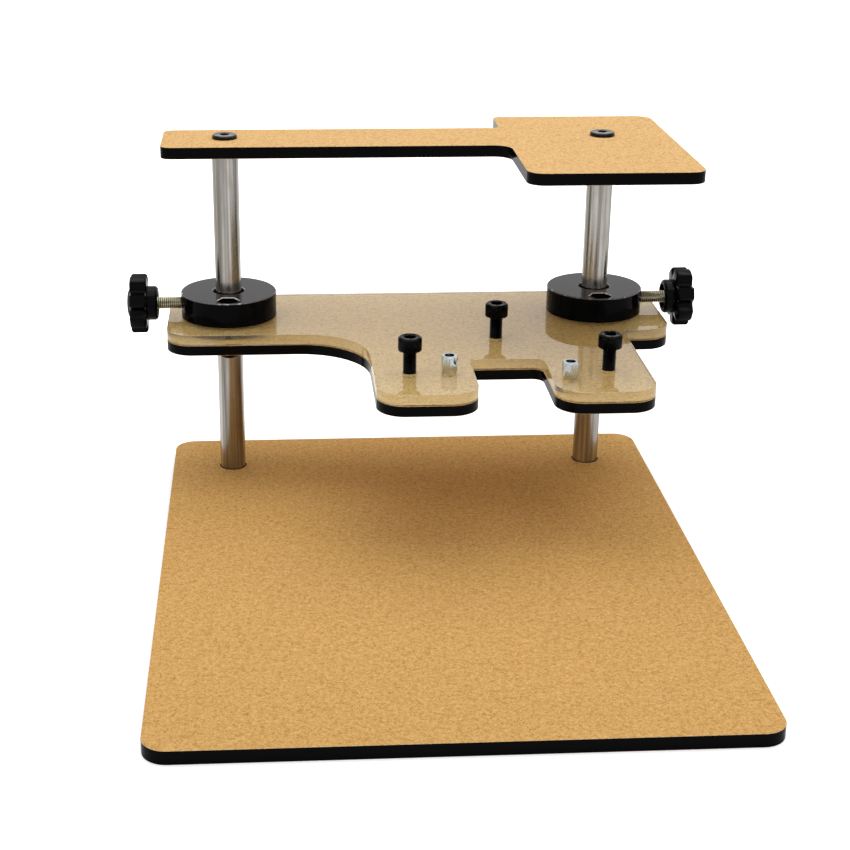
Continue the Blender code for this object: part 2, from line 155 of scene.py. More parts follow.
def pattern(material, size_mm, stretch=(1, 1, 1), detail=3.0, contrast=None, twist=0.0, apart=0.0):
    """Noise of a real size on object coordinates, stretched along the axes in times.

    It can be twisted into curls, and set some metres apart from another pattern.
    """
    place = add_node(material, "ShaderNodeTexCoord", {}, {})
    scale = [1 / s for s in stretch]
    laid = add_node(
        material,
        "ShaderNodeMapping",
        {},
        {"Vector": (place, "Object"), "Location": [apart, apart, apart], "Scale": scale},
    )
    noise = add_node(
        material,
        "ShaderNodeTexNoise",
        {},
        {
            "Vector": (laid, 0),
            "Scale": 1000 / size_mm,
            "Detail": detail,
            "Roughness": 0.6,
            "Distortion": twist,
        },
    )
    if contrast is None:
        return noise
    black, white = linear("000000"), linear("ffffff")
    return add_node(
        material,
        "ShaderNodeValToRGB",
        {"stops": [(contrast[0], black), (contrast[1], white)]},
        {"Fac": (noise, "Fac")},
    )


def mix_colour(material, share, first, second):
    """A colour between two, by a share that a node gives."""
    return add_node(
        material,
        "ShaderNodeMix",
        {"data_type": "RGBA"},
        {0: share, 6: first, 7: second},
    )


def fibres(material, size_mm, apart):
    """Short curly lines in every direction: where a twisted noise crosses its middle, in patches."""
    noise = pattern(material, size_mm, detail=2, twist=1.6, apart=apart)
    off = add_node(material, "ShaderNodeMath", {"operation": "SUBTRACT"}, {0: (noise, "Fac"), 1: 0.5})
    away = add_node(material, "ShaderNodeMath", {"operation": "ABSOLUTE"}, {0: (off, 0)})
    line = add_node(
        material,
        "ShaderNodeMapRange",
        {},
        {"Value": (away, 0), "From Max": 0.05, "To Min": 0.75, "To Max": 0.0},
    )
    patch = pattern(material, size_mm * 0.9, detail=1, contrast=(0.48, 0.58), apart=apart + 0.5)
    return add_node(
        material,
        "ShaderNodeMath",
        {"operation": "MULTIPLY"},
        {0: (line, 0), 1: (patch, 0)},
    )


def kraft_paper(name, dark, light, dark_fibre, light_fibre):
    """Unbleached kraft masking paper: matt and mottled, with short curly fibres and small flecks.

    Real fibres are 0.03 mm wide. They are drawn about ten times as wide, so that they show. The
    sheets take the same paper in tones of their own, as painted light: lighter on the beam and on the
    plate than on the base.
    """
    material, shader = new_material(name, dark, 0.85, sheen_level=0.3)
    mottle = pattern(material, 0.65, detail=4, contrast=(0.32, 0.68))
    tone = mix_colour(material, (mottle, 0), linear(dark), linear(light))
    layers = ((1.5, 0.3, dark_fibre), (1.2, 0.7, light_fibre), (2.1, 1.1, dark_fibre))
    for size, apart, shade in layers:
        tone = mix_colour(material, (fibres(material, size, apart), 0), (tone, 2), linear(shade))
    fleck = pattern(material, 0.8, detail=1, contrast=(0.71, 0.76))
    tone = mix_colour(material, (fleck, 0), (tone, 2), linear(dark_fibre))
    grain = pattern(material, 0.35, detail=2)
    relief = add_node(
        material,
        "ShaderNodeBump",
        {},
        {"Height": (grain, "Fac"), "Distance": 0.00008, "Strength": 0.5},
    )
    material.node_tree.links.new(tone.outputs[2], shader.inputs["Base Color"])
    material.node_tree.links.new(relief.outputs[0], shader.inputs["Normal"])
    return material


def laser_cut_edge():
    """Black acrylic cut by laser: a glossy wall with faint upright ripples about 0.5 mm apart."""
    name = "acrylic_black_laser_edge"
    material, shader = new_material(name, "060608", 0.12, ior=1.49, sheen_level=0.04)
    ripple = pattern(material, 0.55, (1, 1, 60), detail=1)
    relief = add_node(
        material,
        "ShaderNodeBump",
        {},
        {"Height": (ripple, "Fac"), "Distance": 0.00003, "Strength": 0.6},
    )
    material.node_tree.links.new(relief.outputs[0], shader.inputs["Normal"])
    return material


def paper_rim():
    """The cut edge of the masking paper, paler than its face."""
    material, shader = new_material("kraft_paper_cut_rim", "d9b57c", 0.85)
    spots = pattern(material, 1.2, detail=2, contrast=(0.35, 0.65))
    tone = mix_colour(material, (spots, 0), linear("e3c492"), linear("b98f52"))
    material.node_tree.links.new(tone.outputs[2], shader.inputs["Base Color"])
    return material


def new_ring(shape, radius, height, x, y):
    """A circle of edges, which is one level of a bore."""
    drawn = bmesh.ops.create_circle(shape, segments=hole_steps, radius=radius)
    bmesh.ops.translate(shape, verts=drawn["verts"], vec=(x, y, height))
    return list({edge for corner in drawn["verts"] for edge in corner.link_edges})


def bored_sheet(corners, bores, bottom, top, steps=corner_steps):
    """A closed flat solid from (x, y, radius) corners and (x, y, levels) bores.

    A bore's levels are (radius, height) from the top face down to the bottom face.
    """
    shape = bmesh.new()
    outline = [shape.verts.new((x, y, top)) for x, y, radius in corners]
    face = shape.faces.new(outline)
    for corner, (x, y, radius) in zip(outline, corners):
        bmesh.ops.bevel(
            shape,
            geom=[corner],
            offset=radius,
            segments=steps,
            profile=0.5,
            affect="VERTICES",
            material=-1,
        )
    face = shape.faces[:][0]
    upper = list(shape.edges)
    bmesh.ops.delete(shape, geom=[face], context="FACES_ONLY")
    drawn = bmesh.ops.extrude_edge_only(shape, edges=upper)
    moved = {g for g in drawn["geom"] if isinstance(g, bmesh.types.BMVert)}
    bmesh.ops.translate(shape, verts=list(moved), vec=(0, 0, bottom - top))
    lower = [edge for edge in shape.edges if all(v in moved for v in edge.verts)]
    rims = upper + lower
    for x, y, levels in bores:
        rings = [new_ring(shape, radius, height, x, y) for radius, height in levels]
        for i in range(len(rings) - 1):
            bmesh.ops.bridge_loops(shape, edges=rings[i] + rings[i + 1])
        upper = upper + rings[0]
        lower = lower + rings[-1]
    bmesh.ops.triangle_fill(shape, use_beauty=True, edges=upper)
    bmesh.ops.triangle_fill(shape, use_beauty=True, edges=lower)
    bmesh.ops.recalc_face_normals(shape, faces=shape.faces)
    return shape, rims


def chamfer_rims(shape, rims, width):
    """Takes the sharp edge off the rims of a sheet."""
    bmesh.ops.bevel(
        shape,
        geom=rims,
        offset=width,
        segments=1,
        profile=0.5,
        affect="EDGES",
        material=-1,
    )


def paint_by_slope(shape):
    """Gives the flat faces finish 0, the chamfers finish 1 and the walls finish 2."""
    shape.normal_update()
    for face in shape.faces:
        lean = abs(face.normal.z)
        face.material_index = 0 if lean > flat_slope else 1 if lean > chamfer_slope else 2


def keep_piece(shape, name, body, node, materials):
    """Makes the piece from its shape, sets its finishes and ties it to its solid."""
    mesh = bpy.data.meshes.new(name)
    shape.to_mesh(mesh)
    shape.free()
    mesh.shade_smooth()
    mesh.set_sharp_from_angle(angle=smooth_below)
    for material in materials:
        mesh.materials.append(material)
    piece = bpy.data.objects.new(name, mesh)
    bpy.context.scene.collection.objects.link(piece)
    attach(piece, body)
    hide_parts(node)
    return piece


laser_edge = laser_cut_edge()
paper_edge = paper_rim()
base_paper = kraft_paper("kraft_paper_on_base", "b98a45", "d3a866", "8f6428", "dfba80")
base_low, base_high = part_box("base_plate")
left_post_low, left_post_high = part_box("left_post")
right_post_low, right_post_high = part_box("right_post")
post_x = (right_post_low.x + right_post_high.x) / 2
foot_bore = [
    (register_radius, base_high.z),
    (register_radius, base_high.z - register_depth),
    (shank_hole, base_high.z - register_depth),
    (shank_hole, sunk_depth),
    (sunk_hole, sunk_rim),
    (sunk_hole, 0.0),
]
base_corners = [
    (base_left, base_front, base_corner),
    (base_right, base_front, base_corner),
    (base_right, base_back, base_corner),
    (base_left, base_back, base_corner),
]
shape, rims = bored_sheet(
    base_corners,
    [(-post_x, 0, foot_bore), (post_x, 0, foot_bore)],
    base_low.z,
    base_high.z,
)
chamfer_rims(shape, rims, sheet_chamfer)
paint_by_slope(shape)
keep_piece(
    shape,
    "base_sheet",
    "base_frame",
    "base_plate",
    [base_paper, paper_edge, laser_edge],
)


# Posts.
# Two 10 mm bars of bright drawn steel, with turned chamfers and tapped ends. Long upright streaks,
# some bright and some dull, are painted into their colour: partly the bar's drawing marks, partly
# painted reflections.
post_chamfer = 0.0005
tapped_radius = 0.0028
tapped_depth = 0.014
post_steps = 96
thread_cut = 0.0004


def place_ring(corners, level, radius):
    """Sets a ring of corners at a height, at a radius that may vary with the angle."""
    for corner in corners:
        angle = math.atan2(corner.co.y, corner.co.x)
        reach = radius(angle) if callable(radius) else radius
        corner.co = (reach * math.cos(angle), reach * math.sin(angle), level)


def turned_shape(levels, steps, through=False, crest=0.0):
    """A closed solid from (height, radius) rings; one with a hole through closes on itself.

    Below a thread's crest, each corner keeps how deep it lies, from 0 to 1, as its groove; the
    finishes paint shade into the grooves by it.
    """
    shape = bmesh.new()
    corners = bmesh.ops.create_circle(shape, segments=steps, radius=1)["verts"]
    edges = list(shape.edges)
    start = edges
    place_ring(corners, *levels[0])
    for level, radius in levels[1:]:
        drawn = bmesh.ops.extrude_edge_only(shape, edges=edges)
        corners = {g for g in drawn["geom"] if isinstance(g, bmesh.types.BMVert)}
        edges = [e for e in shape.edges if all(v in corners for v in e.verts)]
        place_ring(corners, level, radius)
    if through:
        bmesh.ops.bridge_loops(shape, edges=start + edges)
    else:
        bmesh.ops.contextual_create(shape, geom=start)
        bmesh.ops.contextual_create(shape, geom=edges)
    bmesh.ops.recalc_face_normals(shape, faces=shape.faces)
    groove = shape.verts.layers.float.new("groove")
    for corner in shape.verts:
        depth = (crest - math.hypot(corner.co.x, corner.co.y)) / thread_cut
        corner[groove] = min(1.0, max(0.0, depth))
    return shape


def drawn_steel():
    """Bright drawn steel: upright streaks 1 to 3 mm wide, with fine scratches between."""
    material, shader = new_material("steel_bright_drawn", "aaa7a1", 0.2, 1.0)
    # Upright bands of bright and dull colour: partly drawing marks, partly painted reflections.
    streaks_and_painted_reflections = pattern(material, 2.6, (1, 1, 90), detail=3, contrast=(0.38, 0.62))
    tone = mix_colour(material, (streaks_and_painted_reflections, 0), linear("75706a"), linear("cbc8c2"))
    smudge = pattern(material, 7, (1, 1, 4), detail=4, contrast=(0.45, 0.75))
    tone = mix_colour(material, (smudge, 0), (tone, 2), linear("8d8477"))
    lines = pattern(material, 0.4, (1, 1, 60), detail=2)
    spread = add_node(
        material,
        "ShaderNodeMapRange",
        {},
        {"Value": (lines, "Fac"), "To Min": 0.12, "To Max": 0.34},
    )
    relief = add_node(
        material,
        "ShaderNodeBump",
        {},
        {"Height": (lines, "Fac"), "Distance": 0.00002, "Strength": 0.5},
    )
    material.node_tree.links.new(tone.outputs[2], shader.inputs["Base Color"])
    material.node_tree.links.new(spread.outputs[0], shader.inputs["Roughness"])
    material.node_tree.links.new(relief.outputs[0], shader.inputs["Normal"])
    return material


post_steel = drawn_steel()
for side in ("left", "right"):
    low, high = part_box(side + "_post")
    centre = (low + high) / 2
    radius = (high.x - low.x) / 2
    shape = turned_shape(
        [
            (low.z + tapped_depth, tapped_radius),
            (low.z, tapped_radius),
            (low.z, radius - post_chamfer),
            (low.z + post_chamfer, radius),
            (high.z - post_chamfer, radius),
            (high.z, radius - post_chamfer),
            (high.z, tapped_radius),
            (high.z - tapped_depth, tapped_radius),
        ],
        post_steps,
    )
    bmesh.ops.translate(shape, verts=shape.verts, vec=(centre.x, centre.y, 0))
    keep_piece(shape, side + "_rod", "base_frame", side + "_post", [post_steel])


# Top beam.
# 4.5 mm black acrylic with its paper on, cut as a straight arm that widens to a pad on the
# right. It rests on the posts' ends and ties them.
beam_left = -0.0956
beam_right = 0.0980
arm_half = 0.016
arm_corner = 0.004
pad_left = 0.0345
pad_front = -0.0633
pad_back = 0.0378
pad_corner = 0.006
pad_fillet = 0.0065
pad_rear = 0.003

# Painted light: the beam's paper is the base's paper, given lighter tones for the light that falls on
# it.
beam_paper_painted_lighter = kraft_paper("kraft_paper_on_beam_painted_lighter", "c2975a", "dbb279", "8f6932", "e8c794")
low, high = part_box("top_beam")
beam_corners = [
    (beam_left, -arm_half, arm_corner),
    (pad_left, -arm_half, pad_fillet),
    (pad_left, pad_front, pad_corner),
    (beam_right, pad_front, pad_corner),
    (beam_right, pad_back, pad_corner),
    (pad_left, pad_back, pad_rear),
    (pad_left, arm_half, pad_rear),
    (beam_left, arm_half, arm_corner),
]
beam_bore = [(shank_hole, high.z), (shank_hole, low.z)]
shape, rims = bored_sheet(
    beam_corners,
    [(-post_x, 0, beam_bore), (post_x, 0, beam_bore)],
    low.z,
    high.z,
)
chamfer_rims(shape, rims, sheet_chamfer)
paint_by_slope(shape)
keep_piece(
    shape,
    "beam_sheet",
    "base_frame",
    "top_beam",
    [beam_paper_painted_lighter, paper_edge, laser_edge],
)


# Probe plate and clear sheet.
# A 4 mm black sheet with its paper on, and a 3.8 mm clear one of the same outline on it. The
# clear one is polished on top and has kept its paper underneath, which shows through.
plate_left = -0.0956
plate_right = 0.0980
left_tab_front = -0.0262
right_tab_front = -0.0268
tab_back = 0.0262
tab_corner = 0.010
fork_left = -0.0196
fork_right = 0.0790
fork_front = -0.0945
fork_corner = 0.010
shoulder = 0.026
notch_left = 0.0163
notch_right = 0.0431
notch_back = -0.0582
notch_left_corner = 0.001
notch_right_corner = 0.004
side_notch_corner = 0.002
post_hole = 0.0054
collar_screw_hole = 0.0021
collar_screw_y = -0.0138
standoff_hole = 0.0018

plate_corners = [
    (plate_left, left_tab_front, tab_corner),
    (fork_left, left_tab_front, shoulder),
    (fork_left, fork_front, fork_corner),
    (notch_left, fork_front, fork_corner),
    (notch_left, notch_back, notch_left_corner),
    (notch_right, notch_back, notch_right_corner),
    (notch_right, fork_front, fork_corner),
    (fork_right, fork_front, fork_corner),
    (fork_right, right_tab_front, side_notch_corner),
    (plate_right, right_tab_front, tab_corner),
    (plate_right, tab_back, tab_corner),
    (plate_left, tab_back, tab_corner),
]


def place_of(node):
    """The x and y of a node's middle."""
    low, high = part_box(node)
    return (low.x + high.x) / 2, (low.y + high.y) / 2


def plate_bores(top, bottom):
    """Every hole that goes through both sheets."""
    holes = [(-post_x, 0, post_hole), (post_x, 0, post_hole)]
    holes.append((-post_x, collar_screw_y, collar_screw_hole))
    holes.append((post_x, collar_screw_y, collar_screw_hole))
    for side in ("left", "rear", "right"):
        holes.append((*place_of(side + "_adjuster_screw"), shank_hole))
    for side in ("left", "right"):
        holes.append((*place_of(side + "_standoff"), standoff_hole))
    return [(x, y, [(radius, top), (radius, bottom)]) for x, y, radius in holes]


def clear_acrylic():
    """Clear cast acrylic, polished: glassy, with very slight waves about 20 mm long."""
    material, shader = new_material("acrylic_clear_polished", "f4f3ef", 0.015, ior=1.49)
    shader.inputs["Transmission Weight"].default_value = 1.0
    wave = pattern(material, 20, detail=1)
    relief = add_node(
        material,
        "ShaderNodeBump",
        {},
        {"Height": (wave, "Fac"), "Distance": 0.00005, "Strength": 0.2},
    )
    material.node_tree.links.new(relief.outputs[0], shader.inputs["Normal"])
    return material


# Painted light: the plate's paper, seen through the clear sheet, is the base's paper given lighter
# tones for the light that reaches it there.
plate_paper_painted_lighter = kraft_paper("kraft_paper_on_plate_painted_lighter", "d8b571", "edd191", "a67f42", "f6e4b4")
low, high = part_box("probe_plate")
shape, rims = bored_sheet(plate_corners, plate_bores(high.z, low.z), low.z, high.z)
chamfer_rims(shape, rims, sheet_chamfer)
paint_by_slope(shape)
keep_piece(
    shape,
    "plate_sheet",
    "carriage",
    "probe_plate",
    [plate_paper_painted_lighter, paper_edge, laser_edge],
)
low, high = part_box("clear_cover")
shape, rims = bored_sheet(plate_corners, plate_bores(high.z, low.z), low.z, high.z)
chamfer_rims(shape, rims, sheet_chamfer)
shape.normal_update()
for face in shape.faces:
    face.material_index = 1 if face.normal.z < -flat_slope else 0
keep_piece(
    shape,
    "clear_sheet",
    "carriage",
    "clear_cover",
    [clear_acrylic(), plate_paper_painted_lighter],
)


# Collars.
# Thick discs of black acrylic round the posts, turned, with a wide chamfer at the bore, a hexagon
# pocket for a nut in front of the post and a tapped hole in the side for the knob's stud.
collar_edge = 0.0004
bore_chamfer = 0.0010
bore_chamfer_depth = 0.0016
bore_rim = 0.0002
pocket_across_flats = 0.0076
pocket_rim = 0.0003
pocket_depth = 0.0048
stud_hole = 0.0028
collar_steps = 128
rim_slope = 0.3


def collar_top_acrylic():
    """The collar's faced top: smoky gloss, with hairline scratches and a haze of dust."""
    name = "acrylic_black_faced"
    material, shader = new_material(name, "1c181c", 0.14, ior=1.49, sheen_level=0.1)
    shader.inputs["Specular Tint"].default_value = linear("f3dfea")
    scratch = pattern(material, 0.5, (14, 1, 1), 2, (0.55, 0.75))
    spread = add_node(
        material,
        "ShaderNodeMapRange",
        {},
        {"Value": (scratch, 0), "To Min": 0.1, "To Max": 0.24},
    )
    dust = pattern(material, 0.7, detail=3, contrast=(0.5, 0.8))
    tone = mix_colour(material, (dust, 0), linear("1b161b"), linear("342d33"))
    material.node_tree.links.new(tone.outputs[2], shader.inputs["Base Color"])
    material.node_tree.links.new(spread.outputs[0], shader.inputs["Roughness"])
    return material


def chipped_corner():
    """A cut corner in black acrylic: dull and grey, with pale chips a few mm apart."""
    material, shader = new_material("acrylic_black_chipped_corner", "4b484b", 0.4, ior=1.49)
    chips = pattern(material, 2.2, detail=3, contrast=(0.56, 0.66))
    tone = mix_colour(material, (chips, 0), linear("4a474a"), linear("c9c3bd"))
    material.node_tree.links.new(tone.outputs[2], shader.inputs["Base Color"])
    return material


def hexagonal(across_flats, turn=0.0):
    """The radius of a hexagon at an angle, turned about its axis."""
    half = across_flats / 2
    return lambda angle: half / math.cos((angle + turn + math.pi / 6) % (math.pi / 3) - math.pi / 6)


def with_bore(piece, tool_shape):
    """Cuts a tool's shape out of a piece and keeps the result as the piece's mesh."""
    mesh = bpy.data.meshes.new("tool")
    tool_shape.to_mesh(mesh)
    tool_shape.free()
    tool = bpy.data.objects.new("tool", mesh)
    bpy.context.scene.collection.objects.link(tool)
    cut = piece.modifiers.new("bore", "BOOLEAN")
    cut.operation = "DIFFERENCE"
    cut.solver = "EXACT"
    cut.object = tool
    bpy.context.view_layer.update()
    seen = piece.evaluated_get(bpy.context.evaluated_depsgraph_get())
    bored = bpy.data.meshes.new_from_object(seen)
    piece.modifiers.remove(cut)
    piece.data = bored
    bored.shade_smooth()
    bored.set_sharp_from_angle(angle=smooth_below)
    bpy.data.objects.remove(tool, do_unlink=True)


def paint_collar(mesh, top):
    """Gives the top finish 0, its outer corner 1, the rims of its holes 2 and the rest 3."""
    for face in mesh.polygons:
        middle = face.center
        out = math.hypot(abs(middle.x) - post_x, middle.y)
        sloping = face.normal.z > rim_slope
        if face.normal.z > flat_slope and middle.z > top - bore_rim:
            face.material_index = 0
        elif sloping and middle.z > top - collar_edge and out > radius - 2 * collar_edge:
            face.material_index = 1
        elif sloping and middle.z > top - bore_rim:
            face.material_index = 2
        else:
            face.material_index = 3


def bright_rim():
    """The corner of a hole in black acrylic, painted pale: partly burrs and chips from cutting,
    partly a painted highlight on the chamfer.
    """
    material, shader = new_material("acrylic_black_rim_burrs_painted_highlight", "cfc9c2", 0.35, ior=1.49)
    spots = pattern(material, 1.4, detail=2, contrast=(0.35, 0.6))
    tone = mix_colour(material, (spots, 0), linear("7d7875"), linear("ece7df"))
    material.node_tree.links.new(tone.outputs[2], shader.inputs["Base Color"])
    return material


collar_top_finish = collar_top_acrylic()
corner_finish = chipped_corner()
# The rims of the holes are painted pale: partly burrs and chips, partly a painted highlight.
rim_burrs_painted_highlight = bright_rim()
for side, outward in (("left", -1), ("right", 1)):
    low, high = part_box(side + "_collar")
    radius = (high.y - low.y) / 2
    x = outward * post_x
    shape = turned_shape(
        [
            (low.z, post_hole),
            (low.z, radius),
            (high.z - collar_edge, radius),
            (high.z, radius - collar_edge),
            (high.z, post_hole + bore_chamfer),
            (high.z - bore_rim, post_hole + bore_chamfer - bore_rim),
            (high.z - bore_chamfer_depth, post_hole),
        ],
        collar_steps,
        through=True,
    )
    bmesh.ops.translate(shape, verts=shape.verts, vec=(x, 0, 0))
    collar = keep_piece(
        shape,
        side + "_clamp_collar",
        "carriage",
        side + "_collar",
        [collar_top_finish, corner_finish, rim_burrs_painted_highlight, laser_edge],
    )
    pocket = hexagonal(pocket_across_flats, math.pi / 6)
    pocket_mouth = hexagonal(pocket_across_flats + 4 * pocket_rim, math.pi / 6)
    tool = turned_shape(
        [
            (low.z - pocket_rim, collar_screw_hole),
            (high.z - pocket_depth, collar_screw_hole),
            (high.z - pocket_depth, pocket),
            (high.z - pocket_rim, pocket),
            (high.z + pocket_rim, pocket_mouth),
        ],
        hole_steps,
    )
    bmesh.ops.translate(tool, verts=tool.verts, vec=(x, collar_screw_y, 0))
    with_bore(collar, tool)
    tool = turned_shape([(post_hole / 2, stud_hole), (radius + collar_edge, stud_hole)], hole_steps)
    outwards = Matrix.Rotation(outward * math.pi / 2, 4, "Y")
    middle = Matrix.Translation((x, 0, (low.z + high.z) / 2))
    bmesh.ops.transform(tool, matrix=middle @ outwards, verts=tool.verts)
    with_bore(collar, tool)
    paint_collar(collar.data, high.z)


# Cap screws.
# Black alloy steel socket cap screws with knurled heads: three adjusters with their heads up, and
# two that come up through the plate into the collars. Their threads are cut as real helices.
m5_radius = 0.0025
m5_pitch = 0.0008
m5_head_height = 0.005
m5_key = 0.004
m4_radius = 0.002
m4_pitch = 0.0007
m4_head_height = 0.004
m4_key = 0.003
knurl_teeth = 36
knurl_share = 0.04
head_edge_share = 0.08
socket_share = 0.5
thread_depth_share = 0.6
levels_in_turn = 4


def knurled(radius, teeth, depth):
    """The radius of a straight-knurled round at an angle."""
    return lambda angle: radius - depth / 2 * (1 - math.cos(teeth * angle))


def thread_levels(radius, pitch, start, end):
    """Rings down a threaded shank, each with its groove turned on by a quarter of a turn."""
    depth = pitch * thread_depth_share
    count = round(abs(start - end) / (pitch / levels_in_turn))
    levels = []
    for k in range(count + 1):
        height = start + (end - start) * k / count

        def groove(angle, height=height):
            turns = (height / pitch + angle / math.tau) % 1
            return radius - depth * abs(2 * turns - 1)

        levels.append((height, groove))
    return levels


def cap_screw(head, head_height, shank, pitch, key, top, tip):
    """A socket cap screw from the floor of its socket to the tip of its thread."""
    edge = head_height * head_edge_share
    knurl = head * knurl_share
    under = top - head_height
    ridge = knurled(head, knurl_teeth, knurl)
    levels = [
        (top - head_height * socket_share, hexagonal(key)),
        (top - edge * 0.6, hexagonal(key)),
        (top, key / math.sqrt(3) + edge * 0.4),
        (top, head - edge * 1.5),
        (top - edge, head - knurl),
        (top - edge * 1.1, ridge),
        (under + edge * 0.6, ridge),
        (under, head - knurl),
        (under, shank),
    ]
    levels += thread_levels(shank, pitch, under - shank * 0.4, tip + shank * 0.3)
    levels.append((tip, shank * 0.7))
    return turned_shape(levels, 2 * knurl_teeth, crest=shank)


def black_oxide(name, dark, worn, metallic, sheen_level):
    """Blackened alloy steel: a dark satin skin, worn paler in small patches."""
    material, shader = new_material(name, dark, 0.22, metallic, sheen_level=sheen_level)
    wear = pattern(material, 1.2, detail=4, contrast=(0.52, 0.8))
    tone = mix_colour(material, (wear, 0), linear(dark), linear(worn))
    # Painted shade: the thread's grooves are darkened to near black by their depth.
    groove = add_node(material, "ShaderNodeAttribute", {"attribute_name": "groove"}, {})
    tone = mix_colour(material, (groove, "Fac"), (tone, 2), linear("030303"))
    spread = add_node(
        material,
        "ShaderNodeMapRange",
        {},
        {"Value": (wear, 0), "To Min": 0.16, "To Max": 0.34},
    )
    material.node_tree.links.new(tone.outputs[2], shader.inputs["Base Color"])
    material.node_tree.links.new(spread.outputs[0], shader.inputs["Roughness"])
    return material


adjuster_finish = black_oxide("steel_black_oxide", "040405", "0e0e0d", 0.0, 0.05)
for side in ("left", "rear", "right"):
    node = side + "_adjuster_screw"
    low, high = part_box(node)
    head = (high.x - low.x) / 2
    shape = cap_screw(head, m5_head_height, m5_radius, m5_pitch, m5_key, high.z, low.z)
    bmesh.ops.translate(shape, verts=shape.verts, vec=(*place_of(node), 0))
    keep_piece(
        shape,
        side + "_adjuster",
        side + "_adjuster",
        node,
        [adjuster_finish],
    )
for side in ("left", "right"):
    node = side + "_collar_screw"
    low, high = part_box(node)
    head = (high.y - low.y) / 2
    tip = low.z - high.z
    shape = cap_screw(head, m4_head_height, m4_radius, m4_pitch, m4_key, 0.0, tip)
    upside_down = Matrix.Translation((*place_of(node), low.z)) @ Matrix.Rotation(math.pi, 4, "X")
    bmesh.ops.transform(shape, matrix=upside_down, verts=shape.verts)
    keep_piece(
        shape,
        side + "_cap_screw",
        "carriage",
        node,
        [adjuster_finish],
    )


# Nuts and standoffs.
# Black hexagon nuts in the collars' pockets, and two short zinc plated hexagon standoffs on the
# clear sheet, each turned with a chamfer at both ends and tapped.
nut_across_flats = 0.007
nut_crop = 0.0004
standoff_across_flats = 0.0055
standoff_crop = 0.0005
crop_share = 0.97
bar_steps = 72
m3_radius = 0.0015
m3_pitch = 0.0005
m3_tip = 0.0003
m3_tip_radius = 0.0011
pan_steps = 48
pan_key = 0.002
pan_key_depth = 0.0010
pan_height = 0.0020
pan_runout = 0.0008
pan_profile = [(0.0, 0.72), (0.0005, 0.93), (0.0012, 1.0)]


def zinc_plate(name, bluish, yellowish, roughness):
    """Zinc plated steel: bright, with a drifting tint from its passivation."""
    material, shader = new_material(name, bluish, roughness, 1.0)
    drift = pattern(material, 4, detail=3, contrast=(0.35, 0.65))
    tone = mix_colour(material, (drift, 0), linear(bluish), linear(yellowish))
    # Painted shade: the thread's grooves are darkened to a brownish grey by their depth.
    groove = add_node(material, "ShaderNodeAttribute", {"attribute_name": "groove"}, {})
    tone = mix_colour(material, (groove, "Fac"), (tone, 2), linear("55513f"))
    grain = pattern(material, 0.3, detail=1)
    relief = add_node(
        material,
        "ShaderNodeBump",
        {},
        {"Height": (grain, "Fac"), "Distance": 0.00001, "Strength": 0.5},
    )
    material.node_tree.links.new(tone.outputs[2], shader.inputs["Base Color"])
    material.node_tree.links.new(relief.outputs[0], shader.inputs["Normal"])
    return material


def hexagon_bar(across_flats, bore, bottom, top, crop, turn=0.0):
    """A hexagon bar with a hole through it, and its corners turned off at both ends."""
    flats = hexagonal(across_flats, turn)
    inside = across_flats / 2 * crop_share

    def cropped(angle):
        return min(flats(angle), inside)

    levels = [
        (bottom, bore),
        (bottom, cropped),
        (bottom + crop, flats),
        (top - crop, flats),
        (top, cropped),
        (top, bore),
    ]
    return turned_shape(levels, bar_steps, through=True)


fastener_zinc = zinc_plate("steel_zinc_clear", "ccd3d7", "b4b8b5", 0.08)
for side in ("left", "right"):
    node = side + "_collar_nut"
    low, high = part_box(node)
    shape = hexagon_bar(
        nut_across_flats,
        collar_screw_hole,
        low.z,
        high.z,
        nut_crop,
        math.pi / 6,
    )
    bmesh.ops.translate(shape, verts=shape.verts, vec=(*place_of(node), 0))
    keep_piece(
        shape,
        side + "_nut",
        "carriage",
        node,
        [adjuster_finish],
    )
    node = side + "_standoff"
    low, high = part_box(node)
    shape = hexagon_bar(standoff_across_flats, standoff_hole, low.z, high.z, standoff_crop)
    bmesh.ops.translate(shape, verts=shape.verts, vec=(*place_of(node), 0))
    keep_piece(
        shape,
        side + "_hex_standoff",
        "carriage",
        node,
        [fastener_zinc],
    )
    node = side + "_standoff_screw"
    low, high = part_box(node)
    head = (high.x - low.x) / 2
    under = low.z + pan_height
    levels = [(low.z + pan_key_depth, hexagonal(pan_key)), (low.z, hexagonal(pan_key))]
    levels += [(low.z + rise, head * share) for rise, share in pan_profile]
    levels += [(under, head), (under, m3_radius)]
    levels += thread_levels(m3_radius, m3_pitch, under + pan_runout, high.z - m3_tip)
    levels.append((high.z, m3_tip_radius))
    shape = turned_shape(levels, pan_steps, crest=m3_radius)
    bmesh.ops.translate(shape, verts=shape.verts, vec=(*place_of(node), 0))
    keep_piece(
        shape,
        side + "_pan_screw",
        "carriage",
        node,
        [fastener_zinc],
    )


# End screws of the posts.
# Low-head socket screws on the beam and countersunk ones under the base, M5, all blackened. The
# upper ones are painted a paler grey, a painted reflection, and their sockets near black, a painted
# shade.
end_key = 0.003
end_tip = 0.0008
end_tip_radius = 0.0018
end_steps = 72
low_head_height = 0.0012
low_head_chamfer = 0.0004
low_head_key_depth = 0.0020
low_head_runout = 0.0010
socket_edge = 0.0001
socket_mouth = 0.0019
socket_reach = 0.0018
sunk_key_depth = 0.0009
sunk_head_height = 0.0025
sunk_head_runout = 0.0008

